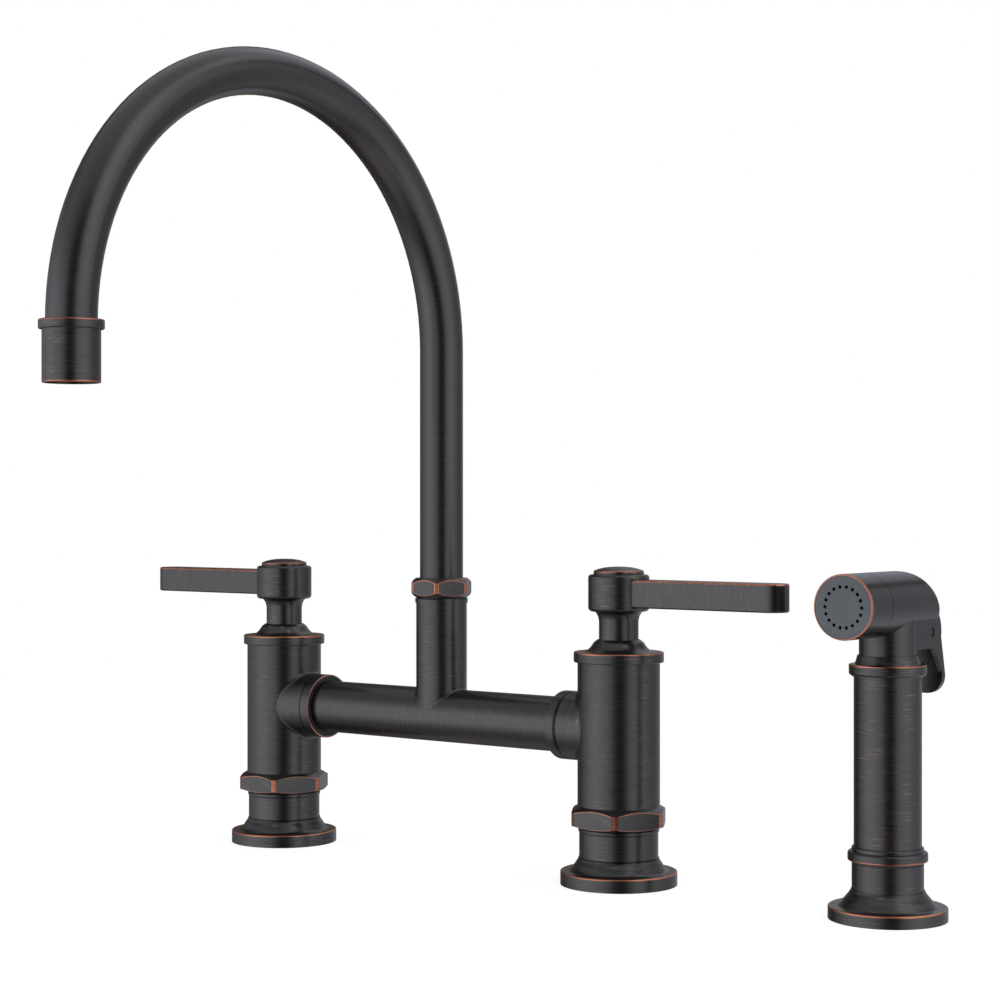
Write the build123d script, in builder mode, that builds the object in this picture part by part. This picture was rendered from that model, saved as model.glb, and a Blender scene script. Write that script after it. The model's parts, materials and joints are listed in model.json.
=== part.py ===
from build123d import *
import os

# A two handle bridge kitchen faucet with a separate side spray, in millimetres.
# +Z is up. The origin is on the deck, midway between the two valves and under the riser.
# The bridge runs along X. The spout and the spray head point towards -Y.

os.makedirs("parts", exist_ok=True)

# ---------- Layout ----------
valve_centres = 203.2  # 8 in between the two valves
spray_distance = 234.6  # from the riser to the side spray
deck_thickness = 28.0

# ---------- Clearances ----------
turn_gap = 0.05  # radial, round a shaft that turns or slides
join_gap = 0.05  # radial, in a joint that doesn't move
ease_gap = 0.3  # between faces that pass each other
edge_round = 0.5  # on turned edges that are worn bright
edge_find = 0.001  # how closely an edge is matched when it is picked for rounding

# ---------- Base flange of a valve ----------
flange_r = 26.0
flange_rim_h = 6.0
flare_foot_r = 22.2
flare_mid_r = 19.4
flare_mid_h = 3.3
flare_top_r = 17.9
flare_h = 6.0
gasket_t = 1.4
gasket_inset = 2.0  # rim of the flange that touches the deck

# ---------- Shank, neck and coupling nut ----------
shank_r = 12.5
shank_spare = 6.0  # thread below the mounting nut
water_r = 6.0
supply_r = 10.3
supply_h = 18.0
neck_r = 17.6
neck_h = 11.4
neck_lip_r = 18.0
neck_lip_h = 1.4
nut_shadow = 0.5  # dark gap under the coupling nut
nut_flats = 40.3
nut_corner_r = 22.45
nut_h = 9.7
nut_top_bevel = 2.35
nut_top_run = 1.75  # how far the bevel runs in for each mm of its height
nut_low_bevel = 1.4
nut_low_run = 2.8
bevel_run = 1.18  # the same for the bevels of the other nuts
coupling_thread_r = 16.0
coupling_lip_h = 2.2
tail_neck_r = 14.0
tail_collar_h = 2.3
tail_bore_r = 8.0

# ---------- Mounting hardware under the deck ----------
washer_r = 23.0
rubber_t = 3.0
steel_t = 1.6
mount_flats = 36.0
mount_corner_r = 20.2
mount_h = 8.0
mount_bevel = 1.5

# ---------- Valve body ----------
body_r = 18.35
body_h = 63.5
bridge_rise = 33.8  # bridge axis above the foot of the valve body
cartridge_r = 12.9
cartridge_drop = 12.8  # cartridge seat below the bridge axis
bonnet_thread_r = 15.5
bonnet_thread_h = 6.5
socket_r = 15.5
socket_reach = 24.6  # from the valve's axis to the end of the socket
socket_round = 2.0
socket_inner = 16.0  # from the valve's axis to the bottom of the tube socket

# ---------- Union ring and its seal ----------
union_h = 5.5
union_lip_r = 14.1
union_lip_h = 2.4
union_round = 0.6
seal_t = 1.5
seal_recess = 0.8

# ---------- Bonnet cap ----------
cap_r = 20.05
cap_rim_h = 4.6
cap_cove_r = 16.4
cap_cove_top_r = 11.5
cap_cove_h = 3.6
cap_bead_r = 9.45
cap_bead_h = 1.8
cap_wall = 3.0
cap_cavity_r = 13.5
cap_cavity_top_r = 9.2

# ---------- Cartridge ----------
cartridge_top_drop = 2.5  # top of the cartridge below the top of the valve body
cartridge_bore_r = 9.3
cartridge_floor = 1.5
cartridge_inlet_r = 7.0
disc_t = 3.0
disc_r = 9.0
port_r = 2.6
port_circle_r = 5.2
window_r = 5.0
stem_collar_r = 8.9
stem_collar_h = 4.0
stem_stop_r = 7.5
stem_r = 5.0
stem_head_h = 21.0  # roof of the cartridge, round the stem
seal_ring_r = 0.8

# ---------- Handle ----------
handle_neck_r = 8.8
handle_neck_rise = 7.3  # straight neck above the cap
handle_flare_r = 10.7
handle_flare_h = 5.2
hub_r = 13.6
hub_h = 16.4
hub_low_round = 1.8
hub_top_round = 1.4
neck_overlap = 2.5  # neck inside the cap
drive_flats = 7.0
drive_h = 14.0
drive_start = 1.7  # above the cap's top
screw_r = 2.0
screw_head_r = 3.8
screw_head_h = 3.0
screw_grip = 4.5  # hub wall under the screw head
screw_bite = 10.0
hex_key = 2.5
button_r = 11.2
button_side_h = 1.6
button_dome_h = 1.9
button_spigot_r = 8.4
button_spigot_h = 3.6
button_web = 1.0

# ---------- Lever ----------
lever_reach = 86.0
lever_w = 13.8
lever_h = 12.25
lever_rise = 2.0  # above the hub's underside
lever_edge = 0.9
lever_root = 10.2  # from the handle's axis to the root of the lever

# ---------- Bridge and riser ----------
tube_r = 12.5
tube_wall = 2.2
riser_r = 11.98
riser_h = 55.4  # from the bridge axis to the top of the riser's lip
riser_lip_r = 12.45
riser_lip_h = 2.2
tee_round = 1.2
riser_thread_r = 11.3
riser_thread_h = 4.3
riser_water_r = 8.0
post_seat_rise = 15.2  # floor of the spout's socket above the bridge axis
riser_nut_gap = 0.3
riser_nut_flats = 26.5
riser_nut_corner_r = 14.9
riser_nut_h = 9.1
riser_nut_bevel = 2.25
bushing_h = 2.2

# ---------- Diverter ----------
diverter_skirt_r = 7.9
diverter_bore_r = 5.2
diverter_depth = 11.0
diverter_flange_h = 2.0
diverter_floor = 1.5
diverter_port_r = 2.5
diverter_exit_r = 4.0
piston_h = 5.0

# ---------- Spout ----------
spout_r = 10.2
spout_wall = 2.0
spout_seat_gap = 2.0  # under the foot of the spout tube
spout_straight_z = 240.2  # height above the deck where the gooseneck starts
arch_r = 114.33
o_ring_first = 7.0
o_ring_step = 8.0
o_ring_count = 2
o_ring_wire_r = 0.6
outlet_collar_r = 12.88
outlet_collar_h = 3.8
outlet_collar_over = 1.0  # collar above the end of the arch
outlet_r = 11.48
outlet_h = 21.0
outlet_edge = 0.5
outlet_shoulder_r = 9.0
outlet_shoulder_h = 1.5
aerator_r = 10.4
aerator_h = 5.0
aerator_recess = 1.0
aerator_wall = 1.6
screen_t = 0.6
screen_pitch = 2.4
screen_hole_r = 0.85
screen_count = 7  # holes along each side of the screen's grid

# ---------- Side spray: base ----------
spray_flange_r = 24.3
spray_rim_h = 5.2
ogee_foot_r = 20.2
ogee_bulge_r = 17.9
ogee_top_r = 15.0
ogee_bulge_rise = 2.6
ogee_h = 6.8
spray_neck_r = 14.59
spray_neck_h = 10.6
holder_bore_r = 10.8
liner_r = 12.2
liner_h = 12.6
liner_bore_r = 10.35
liner_lip_r = 14.1
liner_lip_h = 1.2

# ---------- Side spray: wand ----------
tail_r = 10.0
tail_tip_r = 9.2
tail_depth = 30.0
tail_bevel = 2.0
tail_water_r = 4.0
low_step_r = 14.6
low_step_h = 1.8
low_collar_proud = 1.67  # beyond the step
low_collar_h = 3.9
low_collar_round = 1.1
grip_r = 13.75
grip_h = 69.3
grip_wall = 1.6
spigot_h = 7.0
up_collar_gap = 0.4
up_collar_proud = 1.15  # beyond the step
up_collar_h = 4.6
up_collar_round = 1.1
up_step_r = 13.4
up_step_top_r = 12.3
up_step_h = 3.6
head_neck_r = 11.65
head_r = 13.2
head_rise = 20.9  # head axis above the upper collar's top
head_front = 20.0  # from the wand's axis to the seam of the nose
crown_y = 6.3  # where the rounding of the rear starts, on top of the head
crown_high_y = 14.6
crown_high_rise = 8.0
crown_mid_y = 19.3
head_rear = 25.1  # rear of the head at the bottom of its bracket
head_spigot_r = 6.9
head_spigot_h = 10.0
inlet_bore_r = 4.5
chamber_r = 8.5
chamber_rear = 3.0
nose_length = 17.3
nose_seam = 0.2
nose_spigot_r = 10.8
nose_spigot_h = 6.0
nose_round = 0.45
face_r = 12.6
face_t = 4.0
face_recess = 0.2
nozzle_r = 0.75
nozzle_circle_r = 8.2
nozzle_count = 18

# ---------- Side spray: trigger ----------
bracket_half_w = 11.5
bracket_drop = 18.7  # bottom of the bracket below the head's axis
bracket_corner = 2.8
ear_t = 1.5
slot_front = 12.0
slot_roof_drop = 5.6  # roof of the slot below the head's axis
pin_y = 16.8
pin_drop = 12.0
pin_r = 1.9
pin_inset = 0.3
pin_chamfer = 0.4
trigger_hump_r = 12.0  # the back of the trigger curves round the pin
trigger_top_angle = 36.0
trigger_bend_angle = -11.0
trigger_heel_y = 32.2
trigger_heel_drop = 18.1
trigger_tip_y = 32.4
trigger_tip_drop = 26.4
trigger_t = 2.2
trigger_flange_t = 1.8
trigger_lug_r = 4.2
flange_foot_y = 22.9
flange_foot_drop = 7.4
flange_end_y = 29.3
flange_end_drop = 17.0
flange_curve = 12.0
trigger_corner = 7.5
spool_drop = 4.3  # spool valve below the pin
spool_r = 1.6
spool_waist_r = 0.9
spool_front = -8.0
waist_front = -1.7
waist_rear = 2.9
spool_bore_front = -9.6
inlet_y = -3.4
outlet_y = 1.0
passage_r = 1.0
spring_r = 2.05
spring_wire_r = 0.3
spring_turns = 6

# ---------- Hose nipple ----------
nipple_spigot_h = 14.0
nipple_collar_r = 7.0
nipple_collar_h = 3.2
nipple_r = 6.2
nipple_h = 15.0
nipple_thread_r = 4.5
nipple_thread_h = 10.0
nipple_water_r = 2.5

# ---------- Heights of the valve column, from the deck up ----------
neck_z = flange_rim_h + flare_h
neck_lip_z = neck_z + neck_h
neck_top_z = neck_lip_z + neck_lip_h
nut_z = neck_top_z + nut_shadow
body_z = nut_z + nut_h
body_top_z = body_z + body_h
bridge_z = body_z + bridge_rise
tail_collar_z = body_z - coupling_lip_h - tail_collar_h
cartridge_z = bridge_z - cartridge_drop
cartridge_top_z = body_top_z - cartridge_top_drop
disc_z = cartridge_z + cartridge_floor
cap_rim_z = body_top_z + cap_rim_h
cap_cove_z = cap_rim_z + cap_cove_h
cap_top_z = cap_cove_z + cap_bead_h
hub_z = cap_top_z + handle_neck_rise + handle_flare_h
hub_top_z = hub_z + hub_h
hub_foot_z = cap_top_z - neck_overlap
drive_z = cap_top_z + drive_start
drive_top_z = drive_z + drive_h
screw_head_z = drive_top_z + screw_grip
lever_z = hub_z + lever_rise

# ---------- Heights under the deck ----------
steel_z = -deck_thickness - rubber_t - steel_t
mount_z = steel_z - mount_h
shank_low_z = mount_z - shank_spare
supply_low_z = shank_low_z - supply_h

# ---------- Heights of the riser and spout ----------
riser_top_z = bridge_z + riser_h
riser_lip_z = riser_top_z - riser_lip_h
post_seat_z = bridge_z + post_seat_rise
spout_foot_z = post_seat_z + diverter_flange_h + spout_seat_gap
riser_nut_z = riser_top_z + riser_nut_gap
bushing_z = riser_top_z + riser_thread_h
riser_nut_lip_z = bushing_z + bushing_h + join_gap
outlet_y0 = -2 * arch_r
outlet_top_z = spout_straight_z + outlet_collar_over
outlet_collar_z = outlet_top_z - outlet_collar_h
outlet_low_z = outlet_collar_z - outlet_h
aerator_z = outlet_low_z + aerator_recess
aerator_seat_z = aerator_z + aerator_h + join_gap
spout_tip_z = aerator_seat_z + outlet_shoulder_h

# ---------- Heights and places of the side spray ----------
low_collar_r = low_step_r + low_collar_proud
up_collar_r = low_step_r + up_collar_proud
spray_neck_z = spray_rim_h + ogee_h
spray_neck_top_z = spray_neck_z + spray_neck_h
wand_z = spray_neck_top_z + liner_lip_h
low_step_z = wand_z + low_collar_h
grip_z = low_step_z + low_step_h
grip_top_z = grip_z + grip_h
up_collar_z = grip_top_z + up_collar_gap
up_collar_top_z = up_collar_z + up_collar_h
up_step_top_z = up_collar_top_z + up_step_h
tail_low_z = wand_z - tail_depth
head_axis_z = up_step_top_z + head_rise
bracket_z = head_axis_z - bracket_drop
slot_roof_z = head_axis_z - slot_roof_drop
slot_half_w = bracket_half_w - ear_t
pin_z = head_axis_z - pin_drop
spool_z = pin_z - spool_drop
trigger_half_w = slot_half_w - ease_gap
nipple_z = tail_low_z - ease_gap
nipple_low_z = nipple_z - nipple_collar_h - nipple_h

VALVES = {"left": -1, "right": 1}  # side of the riser along X


def upright(x):
    """The vertical plane through the column at x: sketch x is the radius, sketch y the height."""
    return Plane(origin=(x, 0, 0), x_dir=(1, 0, 0), z_dir=(0, -1, 0))


def column(x):
    """The vertical axis of the column at x."""
    return Axis((x, 0, 0), (0, 0, 1))


def side_on(x):
    """The vertical plane across X at x: sketch x is +Y, sketch y the height."""
    return Plane(origin=(x, 0, 0), x_dir=(0, 1, 0), z_dir=(1, 0, 0))


def facing(y, x, z):
    """The vertical plane at y that faces +Y, with its origin over (x, z)."""
    return Plane(origin=(x, y, z), x_dir=(-1, 0, 0), z_dir=(0, 1, 0))


def at_ring(radius, height):
    """A test for the circular edges of that radius at that height."""
    return lambda e: abs(e.radius - radius) < edge_find and abs(e.arc_center.Z - height) < edge_find


def ring(x, inner_r, outer_r, low_z, high_z):
    """A plain ring on the column at x."""
    with BuildPart() as made:
        with BuildSketch(Plane.XY.offset(low_z)):
            with Locations((x, 0)):
                Circle(outer_r)
                Circle(inner_r, mode=Mode.SUBTRACT)
        extrude(amount=high_z - low_z)
    return made.part


def hex_blank(x, low_z, height, flats, corner_r, low, top):
    """A solid hexagon with corners along X, cut back to corner_r and bevelled at both ends.

    low and top are the bevels, each as its height and how far it runs in for each mm of that.
    """
    low_h, low_run = low
    top_h, top_run = top
    with BuildPart() as made:
        with BuildSketch(Plane.XY.offset(low_z)):
            with Locations((x, 0)):
                RegularPolygon(flats / 2, 6, major_radius=False)
        extrude(amount=height)
        with BuildSketch(upright(x)):
            with BuildLine():
                Polyline(
                    (0, low_z),
                    (corner_r - low_h * low_run, low_z),
                    (corner_r, low_z + low_h),
                    (corner_r, low_z + height - top_h),
                    (corner_r - top_h * top_run, low_z + height),
                    (0, low_z + height),
                    close=True,
                )
            make_face()
        revolve(axis=column(x), mode=Mode.INTERSECT)
    return made.part


# ====================================================================
# The two valve columns
# ====================================================================
for side, sign in VALVES.items():
    valve_x = sign * valve_centres / 2
    inward = -sign  # towards the riser

    # Base flange: a rim with a turned flare up to the neck
    with BuildPart() as base_flange:
        with BuildSketch(upright(valve_x)):
            with BuildLine():
                foot = Line((flange_r, flange_rim_h), (flare_foot_r, flange_rim_h))
                flare = Spline(
                    foot @ 1,
                    (flare_mid_r, flange_rim_h + flare_mid_h),
                    (flare_top_r, neck_z),
                    tangents=[(-1, 0.25), (-0.15, 1)],
                )
                Polyline(
                    flare @ 1,
                    (shank_r + ease_gap, neck_z),
                    (shank_r + ease_gap, gasket_t),
                    (flange_r - gasket_inset, gasket_t),
                    (flange_r - gasket_inset, 0),
                    (flange_r, 0),
                    foot @ 0,
                )
            make_face()
        revolve(axis=column(valve_x))
        rim = base_flange.edges().filter_by(GeomType.CIRCLE).filter_by(at_ring(flange_r, flange_rim_h))
        fillet(rim, edge_round)
    base_flange.part.label = f"{side}_base_flange"
    export_step(base_flange.part, f"parts/{side}_base_flange.step")

    # Shank: neck above the flange, thread through the deck, supply end below
    with BuildPart() as shank:
        with BuildSketch(upright(valve_x)):
            with BuildLine():
                Polyline(
                    (water_r, supply_low_z),
                    (supply_r, supply_low_z),
                    (supply_r, shank_low_z),
                    (shank_r, shank_low_z),
                    (shank_r, neck_z),
                    (neck_r, neck_z),
                    (neck_r, neck_lip_z),
                    (neck_lip_r, neck_lip_z),
                    (neck_lip_r, neck_top_z),
                    (coupling_thread_r, neck_top_z),
                    (coupling_thread_r, tail_collar_z),
                    (water_r, tail_collar_z),
                    close=True,
                )
            make_face()
        revolve(axis=column(valve_x))
        lip = shank.edges().filter_by(GeomType.CIRCLE).filter_by(at_ring(neck_lip_r, neck_lip_z))
        fillet(lip, neck_lip_r - neck_r - turn_gap)
    shank.part.label = f"{side}_shank"
    export_step(shank.part, f"parts/{side}_shank.step")

    # Coupling nut: threaded on the shank, its top lip holds the collar of the valve body
    nut_low = (nut_low_bevel, nut_low_run)
    nut_top = (nut_top_bevel, nut_top_run)
    nut_blank = hex_blank(valve_x, nut_z, nut_h, nut_flats, nut_corner_r, nut_low, nut_top)
    with BuildPart() as coupling_nut:
        add(nut_blank)
        with BuildSketch(Plane.XY.offset(nut_z)):
            with Locations((valve_x, 0)):
                Circle(coupling_thread_r + join_gap)
        extrude(amount=nut_h - coupling_lip_h, mode=Mode.SUBTRACT)
        with BuildSketch(Plane.XY.offset(nut_z)):
            with Locations((valve_x, 0)):
                Circle(tail_neck_r + join_gap)
        extrude(amount=nut_h, mode=Mode.SUBTRACT)
    coupling_nut.part.label = f"{side}_coupling_nut"
    export_step(coupling_nut.part, f"parts/{side}_coupling_nut.step")

    # Valve body: a barrel with a side socket for the bridge tube
    with BuildPart() as valve_body:
        with BuildSketch(Plane.XY.offset(body_z)):
            with Locations((valve_x, 0)):
                Circle(body_r)
        extrude(amount=body_h)
        with BuildSketch(Plane(origin=(valve_x, 0, bridge_z), z_dir=(inward, 0, 0))):
            Circle(socket_r)
        extrude(amount=socket_reach)
        blend = valve_body.edges().filter_by(GeomType.BSPLINE)
        fillet(blend, socket_round)
        # tail with the collar that the coupling nut holds
        with BuildSketch(upright(valve_x)):
            with BuildLine():
                Polyline(
                    (0, tail_collar_z),
                    (coupling_thread_r, tail_collar_z),
                    (coupling_thread_r, tail_collar_z + tail_collar_h),
                    (tail_neck_r, tail_collar_z + tail_collar_h),
                    (tail_neck_r, body_z),
                    (0, body_z),
                    close=True,
                )
            make_face()
        revolve(axis=column(valve_x))
        # waterway, cartridge bore and bonnet thread
        with BuildSketch(upright(valve_x)):
            with BuildLine():
                Polyline(
                    (0, tail_collar_z),
                    (tail_bore_r, tail_collar_z),
                    (tail_bore_r, cartridge_z),
                    (cartridge_r + join_gap, cartridge_z),
                    (cartridge_r + join_gap, body_top_z - bonnet_thread_h),
                    (bonnet_thread_r, body_top_z - bonnet_thread_h),
                    (bonnet_thread_r, body_top_z),
                    (0, body_top_z),
                    close=True,
                )
            make_face()
        revolve(axis=column(valve_x), mode=Mode.SUBTRACT)
        # tube socket and the water bore behind it
        with BuildSketch(Plane(origin=(valve_x, 0, bridge_z), z_dir=(inward, 0, 0))):
            Circle(tube_r - tube_wall)
        extrude(amount=socket_reach, mode=Mode.SUBTRACT)
        with BuildSketch(Plane(origin=(valve_x + inward * socket_inner, 0, bridge_z), z_dir=(inward, 0, 0))):
            Circle(tube_r + join_gap)
        extrude(amount=socket_reach - socket_inner, mode=Mode.SUBTRACT)
    valve_body.part.label = f"{side}_valve_body"
    export_step(valve_body.part, f"parts/{side}_valve_body.step")

    # Union ring on the end of the socket, with a recess for its seal
    with BuildPart() as union_ring:
        with BuildSketch(Plane(origin=(valve_x + inward * socket_reach, 0, bridge_z), z_dir=(inward, 0, 0))):
            Circle(socket_r)
            Circle(tube_r + join_gap, mode=Mode.SUBTRACT)
        extrude(amount=union_h)
        mouth = union_ring.faces().sort_by(Axis.X)[-1 if inward > 0 else 0]
        with BuildSketch(mouth):
            Circle(union_lip_r)
        extrude(amount=-union_lip_h, mode=Mode.SUBTRACT)
        rim_face = union_ring.faces().sort_by(Axis.X)[-1 if inward > 0 else 0]
        rim = rim_face.edges().sort_by(SortBy.RADIUS)
        fillet(rim[-1], union_round)
    union_ring.part.label = f"{side}_union_ring"
    export_step(union_ring.part, f"parts/{side}_union_ring.step")

    # Bonnet cap: a rim and a cove up to the bead round the handle's neck
    with BuildPart() as bonnet_cap:
        with BuildSketch(upright(valve_x)):
            with BuildLine():
                rim_top = Line((cap_r, cap_rim_z), (cap_cove_r, cap_rim_z))
                cove = Spline(
                    rim_top @ 1,
                    (cap_cove_top_r, cap_cove_z),
                    tangents=[(-1, 0.1), (-0.6, 1)],
                )
                bead = Spline(
                    cove @ 1,
                    (cap_bead_r, cap_top_z),
                    tangents=[(-0.6, 1), (-1, 0.7)],
                )
                Polyline(
                    bead @ 1,
                    (handle_neck_r + ease_gap, cap_top_z),
                    (handle_neck_r + ease_gap, cap_top_z - cap_wall),
                    (cap_cavity_top_r, cap_top_z - cap_wall),
                    (cap_cavity_r, body_top_z),
                    (cap_cavity_r, body_top_z - bonnet_thread_h + join_gap),
                    (bonnet_thread_r - join_gap, body_top_z - bonnet_thread_h + join_gap),
                    (bonnet_thread_r - join_gap, body_top_z),
                    (cap_r, body_top_z),
                    rim_top @ 0,
                )
            make_face()
        revolve(axis=column(valve_x))
        rim = bonnet_cap.edges().filter_by(GeomType.CIRCLE)
        fillet(rim.filter_by(at_ring(cap_r, cap_rim_z)), edge_round)
        fillet(rim.filter_by(at_ring(cap_r, body_top_z)), edge_round)
    bonnet_cap.part.label = f"{side}_bonnet_cap"
    export_step(bonnet_cap.part, f"parts/{side}_bonnet_cap.step")

    # Cartridge housing: holds both discs, with windows towards the bridge
    with BuildPart() as cartridge:
        with BuildSketch(upright(valve_x)):
            with BuildLine():
                Polyline(
                    (cartridge_inlet_r, cartridge_z),
                    (cartridge_r, cartridge_z),
                    (cartridge_r, cartridge_top_z),
                    (stem_r + turn_gap, cartridge_top_z),
                    (stem_r + turn_gap, cartridge_top_z - stem_head_h),
                    (cartridge_bore_r, cartridge_top_z - stem_head_h),
                    (cartridge_bore_r, disc_z),
                    (cartridge_inlet_r, disc_z),
                    close=True,
                )
            make_face()
        revolve(axis=column(valve_x))
        with BuildSketch(Plane(origin=(valve_x - cartridge_r, 0, bridge_z), z_dir=(1, 0, 0))):
            Circle(window_r)
        extrude(amount=2 * cartridge_r, mode=Mode.SUBTRACT)
    cartridge.part.label = f"{side}_cartridge"
    export_step(cartridge.part, f"parts/{side}_cartridge.step")

    # Ceramic discs: two ports each, a quarter turn apart while the valve is shut
    with BuildPart() as fixed_disc:
        with BuildSketch(Plane.XY.offset(disc_z)):
            with Locations((valve_x, 0)):
                Circle(cartridge_bore_r - join_gap)
            with Locations((valve_x - port_circle_r, 0), (valve_x + port_circle_r, 0)):
                Circle(port_r, mode=Mode.SUBTRACT)
        extrude(amount=disc_t)
    fixed_disc.part.label = f"{side}_fixed_disc"
    export_step(fixed_disc.part, f"parts/{side}_fixed_disc.step")

    with BuildPart() as turning_disc:
        with BuildSketch(Plane.XY.offset(disc_z + disc_t)):
            with Locations((valve_x, 0)):
                Circle(disc_r)
            with Locations((valve_x, -port_circle_r), (valve_x, port_circle_r)):
                Circle(port_r, mode=Mode.SUBTRACT)
        extrude(amount=disc_t)
    turning_disc.part.label = f"{side}_turning_disc"
    export_step(turning_disc.part, f"parts/{side}_turning_disc.step")

    # Stem: carries the turning disc, runs up through the cartridge and ends in a square drive
    with BuildPart() as stem:
        with BuildSketch(upright(valve_x)):
            with BuildLine():
                Polyline(
                    (0, disc_z + 2 * disc_t),
                    (stem_collar_r, disc_z + 2 * disc_t),
                    (stem_collar_r, disc_z + 2 * disc_t + stem_collar_h),
                    (stem_stop_r, disc_z + 2 * disc_t + stem_collar_h),
                    (stem_stop_r, cartridge_top_z - stem_head_h - turn_gap),
                    (stem_r, cartridge_top_z - stem_head_h - turn_gap),
                    (stem_r, drive_z),
                    (0, drive_z),
                    close=True,
                )
            make_face()
        revolve(axis=column(valve_x))
        with BuildSketch(Plane.XY.offset(drive_z)):
            with Locations((valve_x, 0)):
                Rectangle(drive_flats, drive_flats)
        extrude(amount=drive_h - join_gap)
        with BuildSketch(Plane.XY.offset(disc_z + 2 * disc_t)):
            with Locations((valve_x, -port_circle_r), (valve_x, port_circle_r)):
                Circle(port_r)
        extrude(amount=stem_collar_h + port_r, mode=Mode.SUBTRACT)
        with BuildSketch(Plane.XY.offset(drive_top_z)):
            with Locations((valve_x, 0)):
                Circle(screw_r + join_gap)
        extrude(amount=-screw_bite - ease_gap, mode=Mode.SUBTRACT)
    stem.part.label = f"{side}_stem"
    export_step(stem.part, f"parts/{side}_stem.step")

    # Handle hub: neck, flare and drum, bored for the stem, the screw, the button and the lever
    with BuildPart() as handle_hub:
        with BuildSketch(upright(valve_x)):
            with BuildLine():
                neck = Line((handle_neck_r, hub_foot_z), (handle_neck_r, hub_z - handle_flare_h))
                flare = Spline(neck @ 1, (handle_flare_r, hub_z), tangents=[(0, 1), (1, 1)])
                Polyline(
                    flare @ 1,
                    (hub_r, hub_z),
                    (hub_r, hub_top_z),
                    (0, hub_top_z),
                    (0, hub_foot_z),
                    neck @ 0,
                )
            make_face()
        revolve(axis=column(valve_x))
        drum = handle_hub.edges().filter_by(GeomType.CIRCLE)
        fillet(drum.filter_by(at_ring(hub_r, hub_z)), hub_low_round)
        fillet(drum.filter_by(at_ring(hub_r, hub_top_z)), hub_top_round)
        with BuildSketch(upright(valve_x)):
            with BuildLine():
                Polyline(
                    (0, drive_top_z),
                    (screw_r + ease_gap, drive_top_z),
                    (screw_r + ease_gap, screw_head_z),
                    (screw_head_r + ease_gap, screw_head_z),
                    (screw_head_r + ease_gap, hub_top_z - button_spigot_h),
                    (button_spigot_r + join_gap, hub_top_z - button_spigot_h),
                    (button_spigot_r + join_gap, hub_top_z),
                    (0, hub_top_z),
                    close=True,
                )
            make_face()
        revolve(axis=column(valve_x), mode=Mode.SUBTRACT)
        with BuildSketch(Plane.XY.offset(hub_foot_z)):
            with Locations((valve_x, 0)):
                Circle(stem_r + join_gap)
        extrude(amount=drive_z - hub_foot_z + join_gap, mode=Mode.SUBTRACT)
        with BuildSketch(Plane.XY.offset(drive_z)):
            with Locations((valve_x, 0)):
                Rectangle(drive_flats + 2 * join_gap, drive_flats + 2 * join_gap)
        extrude(amount=drive_h, mode=Mode.SUBTRACT)
        with BuildSketch(side_on(valve_x + sign * (lever_root - join_gap))):
            with Locations((0, lever_z + lever_h / 2)):
                Rectangle(lever_w + 2 * join_gap, lever_h + 2 * join_gap)
        extrude(amount=sign * hub_r, mode=Mode.SUBTRACT)
    handle_hub.part.label = f"{side}_handle_hub"
    export_step(handle_hub.part, f"parts/{side}_handle_hub.step")

    # Lever: a flat bar with a full round end and broken edges
    with BuildPart() as lever:
        with BuildSketch(Plane.XY.offset(lever_z)):
            with BuildLine():
                root_x = valve_x + sign * lever_root
                round_x = valve_x + sign * (lever_reach - lever_w / 2)
                low = Line((root_x, -lever_w / 2), (round_x, -lever_w / 2))
                tip = ThreePointArc(low @ 1, (valve_x + sign * lever_reach, 0), (round_x, lever_w / 2))
                Polyline(tip @ 1, (root_x, lever_w / 2), low @ 0)
            make_face()
        extrude(amount=lever_h)
        around = lever.faces().sort_by(Axis.Z)[-1].edges() + lever.faces().sort_by(Axis.Z)[0].edges()
        fillet(around, lever_edge)
    lever.part.label = f"{side}_lever"
    export_step(lever.part, f"parts/{side}_lever.step")

    # Handle screw: a socket head screw down into the stem
    with BuildPart() as handle_screw:
        with BuildSketch(upright(valve_x)):
            with BuildLine():
                Polyline(
                    (0, drive_top_z - screw_bite),
                    (screw_r, drive_top_z - screw_bite),
                    (screw_r, screw_head_z),
                    (screw_head_r, screw_head_z),
                    (screw_head_r, screw_head_z + screw_head_h),
                    (0, screw_head_z + screw_head_h),
                    close=True,
                )
            make_face()
        revolve(axis=column(valve_x))
        with BuildSketch(Plane.XY.offset(screw_head_z + screw_head_h)):
            with Locations((valve_x, 0)):
                RegularPolygon(hex_key / 2, 6, major_radius=False)
        extrude(amount=-screw_head_h / 2, mode=Mode.SUBTRACT)
    handle_screw.part.label = f"{side}_handle_screw"
    export_step(handle_screw.part, f"parts/{side}_handle_screw.step")

    # Button: a shallow dome that plugs the top of the hub
    with BuildPart() as handle_button:
        with BuildSketch(upright(valve_x)):
            with BuildLine():
                side_top = hub_top_z + button_side_h
                dome = Spline(
                    (button_r, side_top),
                    (0, side_top + button_dome_h),
                    tangents=[(-1, 0.5), (-1, 0)],
                )
                Polyline(
                    dome @ 1,
                    (0, hub_top_z - button_spigot_h + join_gap),
                    (button_spigot_r, hub_top_z - button_spigot_h + join_gap),
                    (button_spigot_r, hub_top_z),
                    (button_r, hub_top_z),
                    dome @ 0,
                )
            make_face()
        revolve(axis=column(valve_x))
        rim = handle_button.edges().filter_by(GeomType.CIRCLE).filter_by(at_ring(button_r, side_top))
        fillet(rim, edge_round)
        with BuildSketch(Plane.XY.offset(hub_top_z - button_spigot_h)):
            with Locations((valve_x, 0)):
                Circle(screw_head_r + ease_gap)
        extrude(amount=button_spigot_h - button_web, mode=Mode.SUBTRACT)
    handle_button.part.label = f"{side}_handle_button"
    export_step(handle_button.part, f"parts/{side}_handle_button.step")

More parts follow.
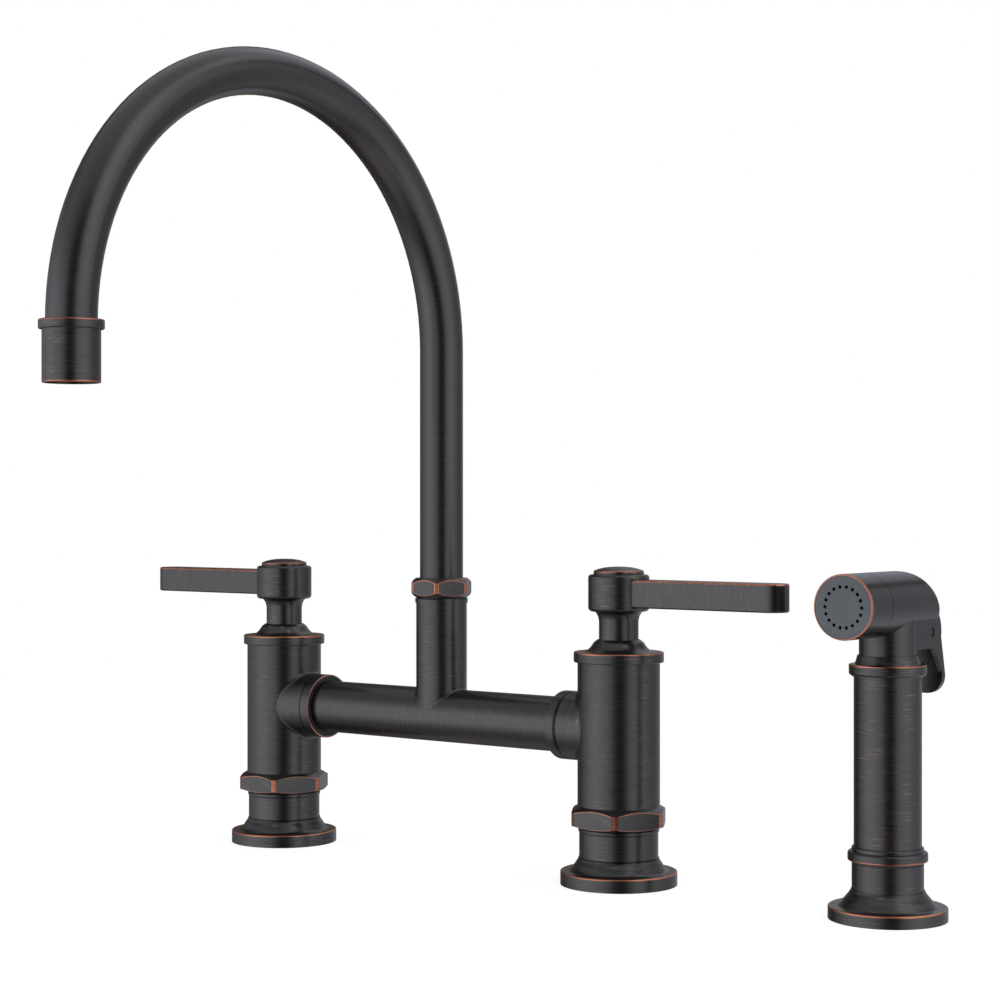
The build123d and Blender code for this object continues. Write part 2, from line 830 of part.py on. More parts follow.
# ====================================================================
# Small pieces that repeat from column to column
# ====================================================================
valve_xs = [sign * valve_centres / 2 for sign in VALVES.values()]
shank_xs = valve_xs + [spray_distance]

gasket_blanks = [
    ring(x, shank_r + ease_gap, flange_r - gasket_inset - join_gap, 0, gasket_t) for x in valve_xs
]
with BuildPart() as base_gaskets:
    add(gasket_blanks)
base_gaskets.part.label = "base_gaskets"
export_step(base_gaskets.part, "parts/base_gaskets.step")

rubber_blanks = [
    ring(x, shank_r + ease_gap, washer_r, steel_z + steel_t, -deck_thickness) for x in shank_xs
]
with BuildPart() as rubber_washers:
    add(rubber_blanks)
rubber_washers.part.label = "rubber_washers"
export_step(rubber_washers.part, "parts/rubber_washers.step")

steel_blanks = [ring(x, shank_r + ease_gap, washer_r, steel_z, steel_z + steel_t) for x in shank_xs]
with BuildPart() as steel_washers:
    add(steel_blanks)
steel_washers.part.label = "steel_washers"
export_step(steel_washers.part, "parts/steel_washers.step")

mount_end = (mount_bevel, bevel_run)
mount_blanks = [
    hex_blank(x, mount_z, mount_h, mount_flats, mount_corner_r, mount_end, mount_end) for x in shank_xs
]
with BuildPart() as mounting_nuts:
    add(mount_blanks)
    with BuildSketch(Plane.XY.offset(mount_z)):
        with Locations([(x, 0) for x in shank_xs]):
            Circle(shank_r + join_gap)
    extrude(amount=mount_h, mode=Mode.SUBTRACT)
mounting_nuts.part.label = "mounting_nuts"
export_step(mounting_nuts.part, "parts/mounting_nuts.step")

# Seal rings round the bridge tube, in the mouths of the union rings
with BuildPart() as union_seals:
    for sign in VALVES.values():
        seal_x = sign * (valve_centres / 2 - socket_reach - union_h + seal_recess)
        with BuildSketch(Plane(origin=(seal_x, 0, bridge_z), z_dir=(sign, 0, 0))):
            Circle(union_lip_r - join_gap)
            Circle(tube_r + join_gap, mode=Mode.SUBTRACT)
        extrude(amount=seal_t)
union_seals.part.label = "union_seals"
export_step(union_seals.part, "parts/union_seals.step")

# O-rings on the stems, in the roof of each cartridge's bonnet
with BuildPart() as stem_seals:
    for x in valve_xs:
        with BuildSketch(upright(x)):
            with Locations((stem_r + seal_ring_r + turn_gap, cartridge_top_z + seal_ring_r + turn_gap)):
                Circle(seal_ring_r)
        revolve(axis=column(x))
stem_seals.part.label = "stem_seals"
export_step(stem_seals.part, "parts/stem_seals.step")

# ====================================================================
# Bridge, diverter and spout
# ====================================================================
tube_half = valve_centres / 2 - socket_inner - join_gap
tube_bore_r = tube_r - tube_wall

# Bridge: a cross tube with the riser standing on its middle
with BuildPart() as bridge_tee:
    with BuildSketch(Plane(origin=(-tube_half, 0, bridge_z), z_dir=(1, 0, 0))):
        Circle(tube_r)
    extrude(amount=2 * tube_half)
    with BuildSketch(Plane.XY.offset(bridge_z)):
        Circle(riser_r)
    extrude(amount=riser_h)
    blend = bridge_tee.edges().filter_by(GeomType.BSPLINE)
    fillet(blend, tee_round)
    with BuildSketch(upright(0)):
        with BuildLine():
            Polyline(
                (0, riser_lip_z),
                (riser_lip_r, riser_lip_z),
                (riser_lip_r, riser_top_z),
                (riser_thread_r, riser_top_z),
                (riser_thread_r, riser_top_z + riser_thread_h),
                (0, riser_top_z + riser_thread_h),
                close=True,
            )
        make_face()
    revolve(axis=column(0))
    lip = bridge_tee.edges().filter_by(GeomType.CIRCLE).filter_by(at_ring(riser_lip_r, riser_top_z))
    fillet(lip, edge_round)
    with BuildSketch(Plane(origin=(-tube_half, 0, bridge_z), z_dir=(1, 0, 0))):
        Circle(tube_bore_r)
    extrude(amount=2 * tube_half, mode=Mode.SUBTRACT)
    with BuildSketch(Plane.XY.offset(bridge_z)):
        Circle(riser_water_r)
    extrude(amount=post_seat_rise, mode=Mode.SUBTRACT)
    with BuildSketch(Plane.XY.offset(post_seat_z)):
        Circle(spout_r + turn_gap)
    extrude(amount=riser_h + riser_thread_h - post_seat_rise, mode=Mode.SUBTRACT)
bridge_tee.part.label = "bridge_tee"
export_step(bridge_tee.part, "parts/bridge_tee.step")

# Diverter housing: hangs by its flange from the floor of the spout's socket
diverter_low_z = post_seat_z - diverter_depth
diverter_top_z = post_seat_z + diverter_flange_h
with BuildPart() as diverter_body:
    with BuildSketch(upright(0)):
        with BuildLine():
            Polyline(
                (diverter_port_r, diverter_low_z),
                (diverter_skirt_r, diverter_low_z),
                (diverter_skirt_r, post_seat_z),
                (spout_r, post_seat_z),
                (spout_r, diverter_top_z),
                (diverter_exit_r, diverter_top_z),
                (diverter_exit_r, post_seat_z),
                (diverter_bore_r, post_seat_z),
                (diverter_bore_r, diverter_low_z + diverter_floor),
                (diverter_port_r, diverter_low_z + diverter_floor),
                close=True,
            )
        make_face()
    revolve(axis=column(0))
diverter_body.part.label = "diverter_body"
export_step(diverter_body.part, "parts/diverter_body.step")

with BuildPart() as diverter_piston:
    with BuildSketch(Plane.XY.offset(diverter_low_z + diverter_floor)):
        Circle(diverter_bore_r - turn_gap)
    extrude(amount=piston_h)
    with BuildSketch(Plane.XY.offset(diverter_low_z + diverter_floor + piston_h)):
        Circle(diverter_port_r)
    extrude(amount=-piston_h / 2, mode=Mode.SUBTRACT)
diverter_piston.part.label = "diverter_piston"
export_step(diverter_piston.part, "parts/diverter_piston.step")

# Riser nut: holds the bushing down on the riser's thread
riser_end = (riser_nut_bevel, bevel_run)
riser_blank = hex_blank(
    0, riser_nut_z, riser_nut_h, riser_nut_flats, riser_nut_corner_r, riser_end, riser_end
)
with BuildPart() as riser_nut:
    add(riser_blank)
    with BuildSketch(Plane.XY.offset(riser_nut_z)):
        Circle(riser_thread_r + join_gap)
    extrude(amount=riser_nut_lip_z - riser_nut_z, mode=Mode.SUBTRACT)
    with BuildSketch(Plane.XY.offset(riser_nut_z)):
        Circle(spout_r + ease_gap)
    extrude(amount=riser_nut_h, mode=Mode.SUBTRACT)
riser_nut.part.label = "riser_nut"
export_step(riser_nut.part, "parts/riser_nut.step")

spout_bushing = ring(0, spout_r + turn_gap, riser_thread_r, bushing_z, bushing_z + bushing_h)
spout_bushing.label = "spout_bushing"
export_step(spout_bushing, "parts/spout_bushing.step")

# Spout tube: up from the riser, over in a half circle and down to the outlet
o_ring_zs = [spout_foot_z + o_ring_first + i * o_ring_step for i in range(o_ring_count)]
with BuildPart() as spout_tube:
    with BuildSketch(Plane.XY.offset(spout_foot_z)):
        Circle(spout_r)
        Circle(spout_r - spout_wall, mode=Mode.SUBTRACT)
    extrude(amount=spout_straight_z - spout_foot_z)
    with BuildSketch(Plane.XY.offset(spout_straight_z)):
        Circle(spout_r)
        Circle(spout_r - spout_wall, mode=Mode.SUBTRACT)
    revolve(axis=Axis((0, -arch_r, spout_straight_z), (1, 0, 0)), revolution_arc=180)
    with BuildSketch(Plane.XY.offset(spout_tip_z)):
        with Locations((0, outlet_y0)):
            Circle(spout_r)
            Circle(spout_r - spout_wall, mode=Mode.SUBTRACT)
    extrude(amount=spout_straight_z - spout_tip_z)
    for z in o_ring_zs:
        with BuildSketch(upright(0)):
            with Locations((spout_r, z)):
                Rectangle(4 * o_ring_wire_r, 2 * o_ring_wire_r + 2 * join_gap)
        revolve(axis=column(0), mode=Mode.SUBTRACT)
spout_tube.part.label = "spout_tube"
export_step(spout_tube.part, "parts/spout_tube.step")

with BuildPart() as spout_o_rings:
    for z in o_ring_zs:
        with BuildSketch(upright(0)):
            with Locations((spout_r - o_ring_wire_r, z)):
                Circle(o_ring_wire_r)
        revolve(axis=column(0))
spout_o_rings.part.label = "spout_o_rings"
export_step(spout_o_rings.part, "parts/spout_o_rings.step")

# Outlet shell: a collar over the end of the tube, and the housing of the aerator
outlet_plane = Plane(origin=(0, outlet_y0, 0), x_dir=(1, 0, 0), z_dir=(0, -1, 0))
outlet_axis = Axis((0, outlet_y0, 0), (0, 0, 1))
with BuildPart() as outlet_shell:
    with BuildSketch(outlet_plane):
        with BuildLine():
            Polyline(
                (aerator_r + join_gap, outlet_low_z),
                (outlet_r, outlet_low_z),
                (outlet_r, outlet_collar_z),
                (outlet_collar_r, outlet_collar_z),
                (outlet_collar_r, outlet_top_z),
                (spout_r + join_gap, outlet_top_z),
                (spout_r + join_gap, spout_tip_z - join_gap),
                (outlet_shoulder_r, spout_tip_z - join_gap),
                (outlet_shoulder_r, aerator_seat_z),
                (aerator_r + join_gap, aerator_seat_z),
                close=True,
            )
        make_face()
    revolve(axis=outlet_axis)
    turned = outlet_shell.edges().filter_by(GeomType.CIRCLE)
    fillet(turned.filter_by(at_ring(outlet_collar_r, outlet_top_z)), edge_round)
    fillet(turned.filter_by(at_ring(outlet_collar_r, outlet_collar_z)), edge_round)
    fillet(turned.filter_by(at_ring(outlet_r, outlet_low_z)), outlet_edge)
outlet_shell.part.label = "outlet_shell"
export_step(outlet_shell.part, "parts/outlet_shell.step")

# Aerator: a ring with a floor that holds the screen
with BuildPart() as aerator:
    with BuildSketch(outlet_plane):
        with BuildLine():
            Polyline(
                (aerator_r - aerator_wall, aerator_z),
                (aerator_r, aerator_z),
                (aerator_r, aerator_z + aerator_h),
                (aerator_r - aerator_wall, aerator_z + aerator_h),
                close=True,
            )
        make_face()
    revolve(axis=outlet_axis)
aerator.part.label = "aerator"
export_step(aerator.part, "parts/aerator.step")

with BuildPart() as aerator_screen:
    with BuildSketch(Plane.XY.offset(aerator_z + screen_t)):
        with Locations((0, outlet_y0)):
            Circle(aerator_r - aerator_wall - join_gap)
            with HexLocations(screen_pitch / 2, screen_count, screen_count, major_radius=False):
                Circle(screen_hole_r, mode=Mode.SUBTRACT)
    extrude(amount=screen_t)
aerator_screen.part.label = "aerator_screen"
export_step(aerator_screen.part, "parts/aerator_screen.step")

# ====================================================================
# Side spray: base and holder
# ====================================================================
spray_x = spray_distance

with BuildPart() as spray_flange:
    with BuildSketch(upright(spray_x)):
        with BuildLine():
            foot = Line((spray_flange_r, spray_rim_h), (ogee_foot_r, spray_rim_h))
            bulge = Spline(
                foot @ 1,
                (ogee_bulge_r, spray_rim_h + ogee_bulge_rise),
                (ogee_top_r, spray_neck_z),
                tangents=[(-1, 0.3), (-0.3, 1)],
            )
            Polyline(
                bulge @ 1,
                (shank_r + ease_gap, spray_neck_z),
                (shank_r + ease_gap, gasket_t),
                (spray_flange_r - gasket_inset, gasket_t),
                (spray_flange_r - gasket_inset, 0),
                (spray_flange_r, 0),
                foot @ 0,
            )
        make_face()
    revolve(axis=column(spray_x))
    rim = spray_flange.edges().filter_by(GeomType.CIRCLE).filter_by(at_ring(spray_flange_r, spray_rim_h))
    fillet(rim, edge_round)
spray_flange.part.label = "spray_flange"
export_step(spray_flange.part, "parts/spray_flange.step")

spray_gasket = ring(spray_x, shank_r + ease_gap, spray_flange_r - gasket_inset - join_gap, 0, gasket_t)
spray_gasket.label = "spray_gasket"
export_step(spray_gasket, "parts/spray_gasket.step")

# Holder: neck above the flange and a threaded tube through the deck
with BuildPart() as spray_holder:
    with BuildSketch(upright(spray_x)):
        with BuildLine():
            Polyline(
                (holder_bore_r, shank_low_z),
                (shank_r, shank_low_z),
                (shank_r, spray_neck_z),
                (spray_neck_r, spray_neck_z),
                (spray_neck_r, spray_neck_top_z),
                (liner_r + join_gap, spray_neck_top_z),
                (liner_r + join_gap, wand_z - liner_lip_h - liner_h),
                (holder_bore_r, wand_z - liner_lip_h - liner_h),
                close=True,
            )
        make_face()
    revolve(axis=column(spray_x))
spray_holder.part.label = "spray_holder"
export_step(spray_holder.part, "parts/spray_holder.step")

# Liner: a plastic sleeve with a lip that the wand's collar rests on
with BuildPart() as holder_liner:
    with BuildSketch(upright(spray_x)):
        with BuildLine():
            Polyline(
                (liner_bore_r, wand_z - liner_lip_h - liner_h),
                (liner_r, wand_z - liner_lip_h - liner_h),
                (liner_r, spray_neck_top_z),
                (liner_lip_r, spray_neck_top_z),
                (liner_lip_r, wand_z),
                (liner_bore_r, wand_z),
                close=True,
            )
        make_face()
    revolve(axis=column(spray_x))
holder_liner.part.label = "holder_liner"
export_step(holder_liner.part, "parts/holder_liner.step")

# ====================================================================
# Side spray: wand
# ====================================================================
grip_bore_r = grip_r - grip_wall

# Tail plug with the lower collar and the spigot for the grip
with BuildPart() as spray_tail:
    with BuildSketch(upright(spray_x)):
        with BuildLine():
            Polyline(
                (tail_water_r + turn_gap, tail_low_z),
                (tail_tip_r, tail_low_z),
                (tail_r, tail_low_z + tail_bevel),
                (tail_r, wand_z),
                (low_collar_r, wand_z),
                (low_collar_r, low_step_z),
                (low_step_r, low_step_z),
                (low_step_r, grip_z),
                (grip_bore_r - join_gap, grip_z),
                (grip_bore_r - join_gap, grip_z + spigot_h),
                (tail_water_r + turn_gap, grip_z + spigot_h),
                close=True,
            )
        make_face()
    revolve(axis=column(spray_x))
    turned = spray_tail.edges().filter_by(GeomType.CIRCLE)
    fillet(turned.filter_by(at_ring(low_collar_r, low_step_z)), low_collar_round)
    fillet(turned.filter_by(at_ring(low_collar_r, wand_z)), edge_round)
    fillet(turned.filter_by(at_ring(low_step_r, grip_z)), edge_round)
spray_tail.part.label = "spray_tail"
export_step(spray_tail.part, "parts/spray_tail.step")

spray_grip = ring(spray_x, grip_bore_r, grip_r, grip_z, grip_top_z)
spray_grip.label = "spray_grip"
export_step(spray_grip, "parts/spray_grip.step")

# Upper collar: a rim and a stepped cone up to the neck of the head
with BuildPart() as upper_collar:
    with BuildSketch(upright(spray_x)):
        with BuildLine():
            cone = Spline(
                (up_step_r, up_collar_top_z),
                (up_step_top_r, up_step_top_z),
                tangents=[(-0.4, 1), (-0.3, 1)],
            )
            Polyline(
                cone @ 1,
                (head_spigot_r + join_gap, up_step_top_z),
                (head_spigot_r + join_gap, grip_top_z - spigot_h),
                (grip_bore_r - join_gap, grip_top_z - spigot_h),
                (grip_bore_r - join_gap, grip_top_z),
                (low_step_r, grip_top_z),
                (low_step_r, up_collar_z),
                (up_collar_r, up_collar_z),
                (up_collar_r, up_collar_top_z),
                cone @ 0,
            )
        make_face()
    revolve(axis=column(spray_x))
    turned = upper_collar.edges().filter_by(GeomType.CIRCLE)
    fillet(turned.filter_by(at_ring(up_collar_r, up_collar_top_z)), edge_round)
    fillet(turned.filter_by(at_ring(up_collar_r, up_collar_z)), up_collar_round)
upper_collar.part.label = "upper_collar"
export_step(upper_collar.part, "parts/upper_collar.step")

# Spray head: a barrel along Y on a round neck, with a bracket behind for the trigger
with BuildPart() as spray_head:
    with BuildSketch(facing(-head_front, spray_x, head_axis_z)):
        Circle(head_r)
    extrude(amount=head_front + head_rear)
    with BuildSketch(Plane.XY.offset(bracket_z)):
        with Locations((spray_x, head_rear / 2)):
            Rectangle(2 * bracket_half_w, head_rear)
    extrude(amount=bracket_drop)
    # rear of the barrel and bracket, seen from the side
    with BuildSketch(side_on(spray_x)) as side_shape:
        with BuildLine():
            crown = Spline(
                (crown_y, head_axis_z + head_r),
                (crown_high_y, head_axis_z + crown_high_rise),
                (crown_mid_y, head_axis_z),
                (head_rear, bracket_z),
                tangents=[(1, 0), (0.2, -1)],
            )
            Polyline(
                crown @ 1,
                (-head_front, bracket_z),
                (-head_front, head_axis_z + head_r),
                crown @ 0,
            )
        make_face()
        fillet(side_shape.vertices().sort_by(Axis.X)[-1], bracket_corner)
    extrude(amount=head_r, both=True, mode=Mode.INTERSECT)
    # neck and the spigot below it
    with BuildSketch(Plane.XY.offset(up_step_top_z)):
        with Locations((spray_x, 0)):
            Circle(head_neck_r)
    extrude(amount=head_rise)
    with BuildSketch(Plane.XY.offset(up_step_top_z - head_spigot_h)):
        with Locations((spray_x, 0)):
            Circle(head_spigot_r)
    extrude(amount=head_spigot_h)
    # slot for the trigger, between the ears of the bracket
    with BuildSketch(side_on(spray_x)):
        with Locations((slot_front + head_rear / 2, (bracket_z + slot_roof_z) / 2)):
            Rectangle(head_rear, slot_roof_z - bracket_z)
    extrude(amount=slot_half_w, both=True, mode=Mode.SUBTRACT)
    # threaded end for the nose
    with BuildSketch(facing(-head_front - nose_spigot_h, spray_x, head_axis_z)):
        Circle(nose_spigot_r)
    extrude(amount=nose_spigot_h)
    # spray chamber
    with BuildSketch(facing(-head_front - nose_spigot_h, spray_x, head_axis_z)):
        Circle(chamber_r)
    extrude(amount=nose_spigot_h + head_front + chamber_rear, mode=Mode.SUBTRACT)
    # inlet bore up the neck, and the passages to and from the spool valve
    with BuildSketch(Plane.XY.offset(up_step_top_z - head_spigot_h)):
        with Locations((spray_x, 0)):
            Circle(inlet_bore_r)
    extrude(amount=head_spigot_h, mode=Mode.SUBTRACT)
    with BuildSketch(Plane.XY.offset(up_step_top_z)):
        with Locations((spray_x, inlet_y)):
            Circle(passage_r)
    extrude(amount=spool_z - up_step_top_z, mode=Mode.SUBTRACT)
    with BuildSketch(Plane.XY.offset(spool_z)):
        with Locations((spray_x, outlet_y)):
            Circle(passage_r)
    extrude(amount=head_axis_z - spool_z, mode=Mode.SUBTRACT)
    with BuildSketch(facing(spool_bore_front, spray_x, spool_z)):
        Circle(spool_r + turn_gap)
    extrude(amount=slot_front - spool_bore_front, mode=Mode.SUBTRACT)
    # pin holes through both ears
    with BuildSketch(side_on(spray_x)):
        with Locations((pin_y, pin_z)):
            Circle(pin_r + join_gap)
    extrude(amount=bracket_half_w, both=True, mode=Mode.SUBTRACT)
spray_head.part.label = "spray_head"
export_step(spray_head.part, "parts/spray_head.step")

# Nose: a ring that screws on the head and holds the nozzle face
nose_y = -head_front - nose_seam
nose_front_y = nose_y - nose_length
with BuildPart() as spray_nose:
    with BuildSketch(side_on(spray_x)):
        with BuildLine():
            Polyline(
                (nose_front_y, head_axis_z + face_r + join_gap),
                (nose_front_y, head_axis_z + head_r),
                (nose_y, head_axis_z + head_r),
                (nose_y, head_axis_z + nose_spigot_r + join_gap),
                (-head_front - nose_spigot_h - join_gap, head_axis_z + nose_spigot_r + join_gap),
                (-head_front - nose_spigot_h - join_gap, head_axis_z + chamber_r),
                (nose_front_y + face_recess + face_t, head_axis_z + chamber_r),
                (nose_front_y + face_recess + face_t, head_axis_z + face_r + join_gap),
                close=True,
            )
        make_face()
    revolve(axis=Axis((spray_x, 0, head_axis_z), (0, 1, 0)))
    front = spray_nose.faces().sort_by(Axis.Y)[0]
    fillet(front.edges().sort_by(SortBy.RADIUS)[-1], nose_round)
spray_nose.part.label = "spray_nose"
export_step(spray_nose.part, "parts/spray_nose.step")

# Nozzle face: a disc with a ring of fine holes
with BuildPart() as nozzle_face:
    with BuildSketch(facing(nose_front_y + face_recess, spray_x, head_axis_z)):
        Circle(face_r)
        with PolarLocations(nozzle_circle_r, nozzle_count):
            Circle(nozzle_r, mode=Mode.SUBTRACT)
    extrude(amount=face_t)
nozzle_face.part.label = "nozzle_face"
export_step(nozzle_face.part, "parts/nozzle_face.step")

# Trigger: a channel whose flanges swing on the pin, between the ears of the bracket
pin_centre = Vector(pin_y, pin_z)
to_top = Vector(1, 0).rotate(Axis.Z, trigger_top_angle)
to_bend = Vector(1, 0).rotate(Axis.Z, trigger_bend_angle)
to_middle = Vector(1, 0).rotate(Axis.Z, (trigger_top_angle + trigger_bend_angle) / 2)
heel_z = pin_z - trigger_heel_drop
tip_z = pin_z - trigger_tip_drop
inner_r = trigger_hump_r - trigger_t
top_z = (pin_centre + to_top * trigger_hump_r).Y
with BuildPart() as spray_trigger:
    with BuildSketch(side_on(spray_x)) as profile:
        with BuildLine():
            back = ThreePointArc(
                pin_centre + to_top * trigger_hump_r,
                pin_centre + to_middle * trigger_hump_r,
                pin_centre + to_bend * trigger_hump_r,
            )
            Polyline(
                back @ 1,
                (trigger_heel_y, heel_z),
                (trigger_tip_y, tip_z),
                (flange_end_y, tip_z),
                (flange_end_y, pin_z - flange_end_drop),
                (flange_foot_y, pin_z - flange_foot_drop),
                (pin_y - trigger_lug_r, pin_z - trigger_lug_r),
                (pin_y - trigger_lug_r, pin_z + trigger_lug_r),
                (pin_y + trigger_lug_r, pin_z + trigger_lug_r),
                pin_centre + to_top * inner_r,
                back @ 0,
            )
        make_face()
        front = profile.vertices().group_by(Axis.X)[0]
        fillet(front, trigger_lug_r - ease_gap)
        foot = Vector(flange_foot_y, pin_z - flange_foot_drop)
        fillet(profile.vertices().sort_by_distance(foot)[0], flange_curve)
    extrude(amount=trigger_half_w, both=True)
    # channel in front of the plate
    with BuildSketch(side_on(spray_x)):
        with BuildLine():
            hollow = ThreePointArc(
                pin_centre + to_top * inner_r,
                pin_centre + to_middle * inner_r,
                pin_centre + to_bend * inner_r,
            )
            Polyline(
                hollow @ 1,
                (trigger_heel_y - trigger_t, heel_z),
                (trigger_tip_y - trigger_t, tip_z),
                (0, tip_z),
                (0, top_z),
                hollow @ 0,
            )
        make_face()
    extrude(amount=trigger_half_w - trigger_flange_t, both=True, mode=Mode.SUBTRACT)
    # rounded lower corners, seen from behind
    with BuildSketch(facing(0, spray_x, 0)) as back_shape:
        with Locations((0, (top_z + tip_z) / 2)):
            Rectangle(2 * trigger_half_w, top_z - tip_z)
        fillet(back_shape.vertices().group_by(Axis.Y)[0], trigger_corner)
    extrude(amount=2 * trigger_tip_y, mode=Mode.INTERSECT)
    with BuildSketch(side_on(spray_x)):
        with Locations((pin_y, pin_z)):
            Circle(pin_r + turn_gap)
    extrude(amount=trigger_half_w, both=True, mode=Mode.SUBTRACT)
spray_trigger.part.label = "spray_trigger"
export_step(spray_trigger.part, "parts/spray_trigger.step")

with BuildPart() as trigger_pin:
    with BuildSketch(side_on(spray_x)):
        with Locations((pin_y, pin_z)):
            Circle(pin_r)
    extrude(amount=bracket_half_w - pin_inset, both=True)
    chamfer(trigger_pin.edges().filter_by(GeomType.CIRCLE), pin_chamfer)
trigger_pin.part.label = "trigger_pin"
export_step(trigger_pin.part, "parts/trigger_pin.step")

# Spool valve: its waist lets water past when the trigger pushes it forward
bend = pin_centre + to_bend * inner_r
slope = (trigger_heel_y - trigger_t - bend.X) / (bend.Y - heel_z)
plate_y = bend.X + slope * (bend.Y - spool_z)
with BuildPart() as spray_spool:
    with BuildSketch(side_on(spray_x)):
        with BuildLine():
            Polyline(
                (spool_front, spool_z),
                (spool_front, spool_z + spool_r),
                (waist_front, spool_z + spool_r),
                (waist_front, spool_z + spool_waist_r),
                (waist_rear, spool_z + spool_waist_r),
                (waist_rear, spool_z + spool_r),
                (plate_y - spool_r * slope - ease_gap, spool_z + spool_r),
                (plate_y - spool_r * slope - ease_gap, spool_z),
                close=True,
            )
        make_face()
    revolve(axis=Axis((spray_x, 0, spool_z), (0, 1, 0)))
spray_spool.part.label = "spray_spool"
export_step(spray_spool.part, "parts/spray_spool.step")

# Trigger spring: a coil round the spool, between the bracket and the trigger
spring_low_y = slot_front + spring_wire_r + turn_gap
spring_high_y = plate_y - (spring_r + spring_wire_r) * slope - ease_gap - spring_wire_r
spring_h = spring_high_y - spring_low_y
with BuildPart() as trigger_spring:
    with BuildLine() as coil:
        Helix(
            spring_h / spring_turns,
            spring_h,
            spring_r,
            center=(spray_x, spring_low_y, spool_z),
            direction=(0, 1, 0),
        )
    with BuildSketch(Plane(origin=coil.edges()[0] @ 0, z_dir=coil.edges()[0] % 0)):
        Circle(spring_wire_r)
    sweep(is_frenet=True)
trigger_spring.part.label = "trigger_spring"
export_step(trigger_spring.part, "parts/trigger_spring.step")

# Hose nipple: turns in the tail, with a threaded end for the hose below
with BuildPart() as hose_nipple:
    with BuildSketch(upright(spray_x)):
        with BuildLine():
            Polyline(
                (nipple_water_r, nipple_low_z),
                (nipple_thread_r, nipple_low_z),
                (nipple_thread_r, nipple_low_z + nipple_thread_h),
                (nipple_r, nipple_low_z + nipple_thread_h),
                (nipple_r, nipple_low_z + nipple_h),
                (nipple_collar_r, nipple_low_z + nipple_h),
                (nipple_collar_r, nipple_z),
                (tail_water_r, nipple_z),
                (tail_water_r, nipple_z + nipple_spigot_h),
                (nipple_water_r, nipple_z + nipple_spigot_h),
                close=True,
            )
        make_face()
    revolve(axis=column(spray_x))
hose_nipple.part.label = "hose_nipple"
export_step(hose_nipple.part, "parts/hose_nipple.step")
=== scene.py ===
"""Looks of a two handle kitchen faucet with a side spray: finishes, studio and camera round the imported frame."""

import json
import math
from collections import namedtuple

import bpy
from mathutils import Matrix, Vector

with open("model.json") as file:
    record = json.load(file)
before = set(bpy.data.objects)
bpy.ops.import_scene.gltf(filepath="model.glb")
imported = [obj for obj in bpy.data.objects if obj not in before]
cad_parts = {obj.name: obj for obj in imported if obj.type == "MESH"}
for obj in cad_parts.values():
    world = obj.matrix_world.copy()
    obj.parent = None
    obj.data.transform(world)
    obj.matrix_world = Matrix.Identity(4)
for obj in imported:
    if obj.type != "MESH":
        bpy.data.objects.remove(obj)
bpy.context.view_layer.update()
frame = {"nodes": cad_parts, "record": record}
nodes = frame["nodes"]
scene = bpy.context.scene

# ---------- Places in the row frame, in metres ----------
mm = 0.001
valve_x = 101.6 * mm
spray_x = 234.6 * mm
bridge_z = 68.8 * mm
head_z = 128.3 * mm  # axis of the spray head
trigger_z = 116.3 * mm
arch_r = 114.33 * mm  # centre line of the gooseneck
arch_z = 240.2 * mm  # where the gooseneck starts to bend

# ---------- Linear colours ----------
bronze_dark = (0.0430, 0.0396, 0.0372)
bronze_light = (0.0567, 0.0522, 0.0492)
streak_copper = (0.175, 0.098, 0.060)
streak_black = (0.022, 0.020, 0.019)
# dark of dirt in joints, also used as painted shade under the coupling nuts
seam_and_shade_black = (0.008, 0.008, 0.008)
worn_copper = (0.50, 0.19, 0.105)
dull_copper = (0.23, 0.080, 0.045)

# ---------- The bronze finish, sizes in metres ----------
brush_length = 14 * mm
brush_width = 0.24 * mm
brush_depth = 0.006 * mm
streak_length = 8.5 * mm
streak_width = 0.30 * mm
black_spread = 1.3  # gives the black streaks other places than the copper ones
black_share = 0.4
patch_size = 16 * mm  # the copper streaks are faint in some patches and strong in others
patch_share = (0.1, 0.9)
rub_size = 32 * mm
rub_depth = 0.9 * mm  # how far the edge of the worn copper wanders
lever_rub = 0.5  # share of that on the levers
bronze_metallic = 0.86
bronze_rough = (0.25, 0.32)
# parts of a noise's range over which something sets in
soft_range = (0.3, 0.7)
brush_range = (0.32, 0.68)
black_range = (0.62, 0.72)
scratch_range = (0.65, 0.72)
patch_range = (0.38, 0.62)
# how far from an edge the copper, the dirt or the painted shade is full, and how far it fades out
usual = dict(core=0.40 * mm, reach=0.85 * mm)
thin = dict(core=0.2 * mm, reach=0.55 * mm)
wide = dict(core=0.65 * mm, reach=1.05 * mm)
foot = dict(core=0.28 * mm, reach=0.62 * mm)
lever_edge = dict(core=0.5 * mm, reach=0.9 * mm)
nut_edge = dict(core=0.1 * mm, reach=0.3 * mm)
nut_top_share, nut_low_share = 0.8, 0.45
nut_corner = (0.22 * mm, 0.12 * mm)  # distances below the corner's radius over which its copper sets in
nut_corner_fade = 0.03 * mm
least_r = 0.01 * mm  # keeps the turn defined on the axis itself

# ---------- The plain finishes, sizes in metres ----------
metal_r = 10 * mm
tool_length = 20 * mm
tool_width = 0.25 * mm
tool_depth = 0.01 * mm
stain_scale = 90
stain_range = (0.5, 0.8)
stain_share = 0.4
metal_rough_rise = 0.12
grain_size = 0.4 * mm
grain_depth = 0.02 * mm
grain_range = (0.45, 0.75)
grain_share = 0.25
mark_scale = 70
moulded_rough_spread = 0.06

# Place on a piece: two numbers that follow the turn round its axis, the distance out and the distance along
Place = namedtuple("Place", "u v radius along")


